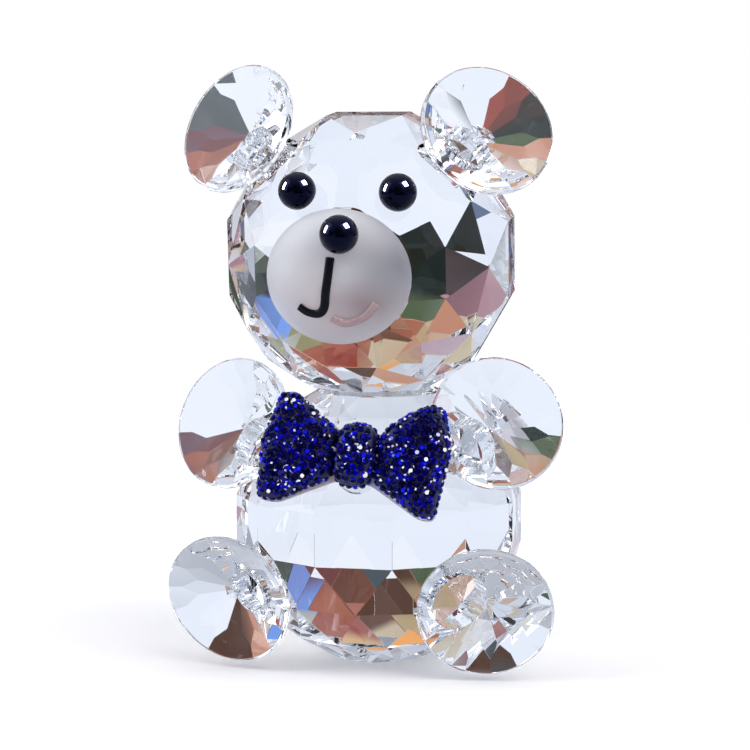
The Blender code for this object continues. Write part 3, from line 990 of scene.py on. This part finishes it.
class BEAR_OT_stage(bpy.types.Operator):
    """Set the floor, the light and the camera"""

    bl_idname = "bear.stage"
    bl_label = "Set Stage"

    def execute(self, context):
        settings = context.scene.bear.stage
        pale = floor_material(settings)
        self.floor(settings, pale)
        self.lip(settings, pale)
        self.surroundings(context.scene)
        self.sparkle(context.scene)
        self.camera(context.scene, settings)
        cycles = context.scene.cycles
        cycles.max_bounces = 24
        cycles.transmission_bounces = 24
        cycles.glossy_bounces = 12
        cycles.transparent_max_bounces = 24
        return {"FINISHED"}

    def floor(self, settings, pale):
        """The round table."""
        bpy.ops.object.select_all(action="DESELECT")
        bpy.ops.mesh.primitive_circle_add(vertices=128, radius=settings.table, fill_type="NGON")
        floor = added("floor")
        floor.data.materials.append(pale)

    def lip(self, settings, pale):
        """A low pale wall on the table, which shows in the crystal only and glows there with the floor's
        painted glow.
        """
        height, radius = settings.lip
        bpy.ops.object.select_all(action="DESELECT")
        bpy.ops.mesh.primitive_cylinder_add(
            vertices=128, radius=radius, depth=height, end_fill_type="NOTHING", location=(0, 0, height / 2)
        )
        lip = added("table_lip")
        set_down(lip, lip.matrix_world.copy())
        lip.visible_camera = False
        lip.visible_shadow = False
        lip.data.materials.append(pale)

    def sparkle(self, scene):
        """Two bright panels that only the eyes and the nose catch."""
        shiny = bpy.data.collections.new("shiny")
        for obj in scene.objects:
            if obj.name.endswith("_polished"):
                shiny.objects.link(obj)
        for azimuth, elevation, wide, tall, power in PANELS:
            data = bpy.data.lights.new("panel", "AREA")
            data.shape = "RECTANGLE"
            data.size = 2 * PANEL_REACH * math.tan(math.radians(wide / 2))
            data.size_y = 2 * PANEL_REACH * math.tan(math.radians(tall / 2))
            data.energy = power
            panel = bpy.data.objects.new("panel", data)
            scene.collection.objects.link(panel)
            out = direction(azimuth, elevation)
            panel.location = CENTRES["head"] + out * PANEL_REACH
            panel.rotation_mode = "QUATERNION"
            panel.rotation_quaternion = out.to_track_quat("Z", "Y")
            panel.light_linking.receiver_collection = shiny

    def surroundings(self, scene):
        """White to the camera, and to every other ray the room that the crystal bends into its facets."""
        world = bpy.data.worlds.new("surroundings")
        scene.world = world
        world.use_nodes = True
        nodes, links = world.node_tree.nodes, world.node_tree.links
        back = nodes["Background"]
        place = nodes.new("ShaderNodeTexCoord")
        split = nodes.new("ShaderNodeSeparateXYZ")
        links.new(place.outputs["Generated"], split.inputs["Vector"])
        rise = node(nodes, "ShaderNodeMath", operation="ARCSINE")
        links.new(split.outputs["Z"], rise.inputs[0])
        turn = node(nodes, "ShaderNodeMath", operation="ARCTAN2")
        links.new(split.outputs["X"], turn.inputs[0])
        links.new(split.outputs["Y"], turn.inputs[1])
        colour = self.room(nodes, links, turn.outputs[0], rise.outputs[0])
        seen = nodes.new("ShaderNodeLightPath")
        mix = node(nodes, "ShaderNodeMix", data_type="RGBA")
        links.new(seen.outputs["Is Camera Ray"], mix.inputs["Factor"])
        links.new(colour, mix.inputs["A"])
        mix.inputs["B"].default_value = (1, 1, 1, 1)
        links.new(mix.outputs["Result"], back.inputs["Color"])

    def room(self, nodes, links, turn, rise):
        """The colours of the room by azimuth and elevation, with the sky over them and two windows."""
        place = nodes.new("ShaderNodeTexCoord").outputs["Generated"]
        wander = nodes.new("ShaderNodeTexNoise")
        wander.inputs["Scale"].default_value = 5
        wander.inputs["Detail"].default_value = 3
        links.new(place, wander.inputs["Vector"])
        parts = nodes.new("ShaderNodeSeparateColor")
        links.new(wander.outputs["Color"], parts.inputs["Color"])
        along = self.warped(nodes, links, turn, parts.outputs["Red"], math.radians(SWAY[0]))
        height = self.warped(nodes, links, rise, parts.outputs["Green"], math.radians(SWAY[1]))
        ahead = node(nodes, "ShaderNodeMath", operation="ADD")
        links.new(along, ahead.inputs[0])
        ahead.inputs[1].default_value = math.radians(SEAM)
        half = node(nodes, "ShaderNodeMath", operation="FLOORED_MODULO")
        links.new(ahead.outputs[0], half.inputs[0])
        half.inputs[1].default_value = math.pi
        share = node(nodes, "ShaderNodeMath", operation="DIVIDE")
        links.new(half.outputs[0], share.inputs[0])
        share.inputs[1].default_value = math.pi
        sky = ramp(nodes, SKY)
        lift = nodes.new("ShaderNodeMapRange")
        lift.inputs["From Min"].default_value = 0
        lift.inputs["From Max"].default_value = math.pi / 2
        links.new(rise, lift.inputs["Value"])
        links.new(lift.outputs["Result"], sky.inputs["Fac"])
        colour = sky.outputs["Color"]
        for top, cards in reversed(ROOM):
            stops = [((azimuth + SEAM) / 180, TONES[name]) for azimuth, name in cards]
            band = ramp(nodes, stops, "EASE")
            links.new(share.outputs[0], band.inputs["Fac"])
            edge = node(nodes, "ShaderNodeMapRange", interpolation_type="SMOOTHSTEP")
            edge.inputs["From Min"].default_value = math.radians(top - BLUR)
            edge.inputs["From Max"].default_value = math.radians(top + BLUR)
            links.new(height, edge.inputs["Value"])
            over = node(nodes, "ShaderNodeMix", data_type="RGBA")
            links.new(edge.outputs["Result"], over.inputs["Factor"])
            links.new(band.outputs["Color"], over.inputs["A"])
            links.new(colour, over.inputs["B"])
            colour = over.outputs["Result"]
        return self.windows(nodes, links, place, colour)

    def warped(self, nodes, links, angle, drift, most):
        """The angle, drifting over a range of this width."""
        made = node(nodes, "ShaderNodeMath", operation="MULTIPLY_ADD")
        links.new(drift, made.inputs[0])
        made.inputs[1].default_value = most
        shift = node(nodes, "ShaderNodeMath", operation="SUBTRACT")
        links.new(angle, shift.inputs[0])
        shift.inputs[1].default_value = most / 2
        links.new(shift.outputs[0], made.inputs[2])
        return made.outputs[0]

    def windows(self, nodes, links, place, colour):
        """Two soft windows."""
        for azimuth, elevation, wide, tall in WINDOWS:
            facing = direction(azimuth, elevation)
            right = facing.cross(Vector((0, 0, 1))).normalized()
            up = right.cross(facing)
            mask = None
            for axis, reach in ((right, wide), (up, tall)):
                share = node(nodes, "ShaderNodeVectorMath", operation="DOT_PRODUCT")
                links.new(place, share.inputs[0])
                share.inputs[1].default_value = axis
                size = node(nodes, "ShaderNodeMath", operation="ABSOLUTE")
                links.new(share.outputs["Value"], size.inputs[0])
                edge = node(nodes, "ShaderNodeMapRange", interpolation_type="SMOOTHSTEP")
                limit = math.sin(math.radians(reach / 2))
                edge.inputs["From Min"].default_value = limit * 0.85
                edge.inputs["From Max"].default_value = limit * 1.1
                edge.inputs["To Min"].default_value = 1
                edge.inputs["To Max"].default_value = 0
                links.new(size.outputs[0], edge.inputs["Value"])
                mask = self.times(nodes, links, mask, edge.outputs["Result"])
            front = node(nodes, "ShaderNodeVectorMath", operation="DOT_PRODUCT")
            links.new(place, front.inputs[0])
            front.inputs[1].default_value = facing
            ahead = node(nodes, "ShaderNodeMath", operation="GREATER_THAN")
            links.new(front.outputs["Value"], ahead.inputs[0])
            mask = self.times(nodes, links, mask, ahead.outputs[0])
            over = node(nodes, "ShaderNodeMix", data_type="RGBA")
            links.new(mask, over.inputs["Factor"])
            links.new(colour, over.inputs["A"])
            over.inputs["B"].default_value = WINDOW_GLOW
            colour = over.outputs["Result"]
        return colour

    def times(self, nodes, links, first, second):
        """The product of two values, or the second alone if there is no first."""
        if first is None:
            return second
        made = node(nodes, "ShaderNodeMath", operation="MULTIPLY")
        links.new(first, made.inputs[0])
        links.new(second, made.inputs[1])
        return made.outputs[0]

    def camera(self, scene, settings):
        """The camera, at its distance from what it looks at."""
        back = direction(math.degrees(settings.azimuth), math.degrees(settings.elevation))
        data = bpy.data.cameras.new("camera")
        data.lens = settings.lens
        data.clip_start = 0.01
        camera = bpy.data.objects.new("camera", data)
        scene.collection.objects.link(camera)
        camera.location = AIM + back * settings.distance
        camera.rotation_mode = "QUATERNION"
        camera.rotation_quaternion = (-back).to_track_quat("-Z", "Y")
        scene.camera = camera
        scene.view_settings.view_transform = "Standard"


class BEAR_PT_panel(bpy.types.Panel):
    """The steps that dress the bear"""

    bl_label = "Crystal Bear"
    bl_idname = "BEAR_PT_panel"
    bl_space_type = "VIEW_3D"
    bl_region_type = "UI"
    bl_category = "Crystal Bear"

    def draw(self, context):
        bear = context.scene.bear
        for title, group, steps in STEPS:
            box = self.layout.box()
            box.label(text=title)
            settings = getattr(bear, group)
            for name in settings.__annotations__:
                box.prop(settings, name)
            for step in steps:
                box.operator(step)


STEPS = (
    ("Crystals", "crystal", ("bear.cut_crystals",)),
    ("Bonds", "bond", ("bear.adhesive",)),
    ("Face", "face", ("bear.muzzle", "bear.beads", "bear.mouth")),
    ("Bow Tie", "bow", ("bear.bow",)),
    ("Stage", "stage", ("bear.stage",)),
)
CLASSES = (
    CrystalSettings,
    BondSettings,
    FaceSettings,
    BowSettings,
    StageSettings,
    BearSettings,
    BEAR_OT_cut_crystals,
    BEAR_OT_adhesive,
    BEAR_OT_muzzle,
    BEAR_OT_beads,
    BEAR_OT_mouth,
    BEAR_OT_bow,
    BEAR_OT_stage,
    BEAR_PT_panel,
)


def register():
    for cls in CLASSES:
        bpy.utils.register_class(cls)
    bpy.types.Scene.bear = bpy.props.PointerProperty(type=BearSettings)


def unregister():
    del bpy.types.Scene.bear
    for cls in reversed(CLASSES):
        bpy.utils.unregister_class(cls)


def main():
    """Runs every step."""
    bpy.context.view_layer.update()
    register()
    bpy.ops.bear.cut_crystals()
    bpy.ops.bear.adhesive()
    bpy.ops.bear.muzzle()
    bpy.ops.bear.beads()
    bpy.ops.bear.mouth()
    bpy.ops.bear.bow()
    bpy.ops.bear.stage()


if __name__ == "__main__":
    main()
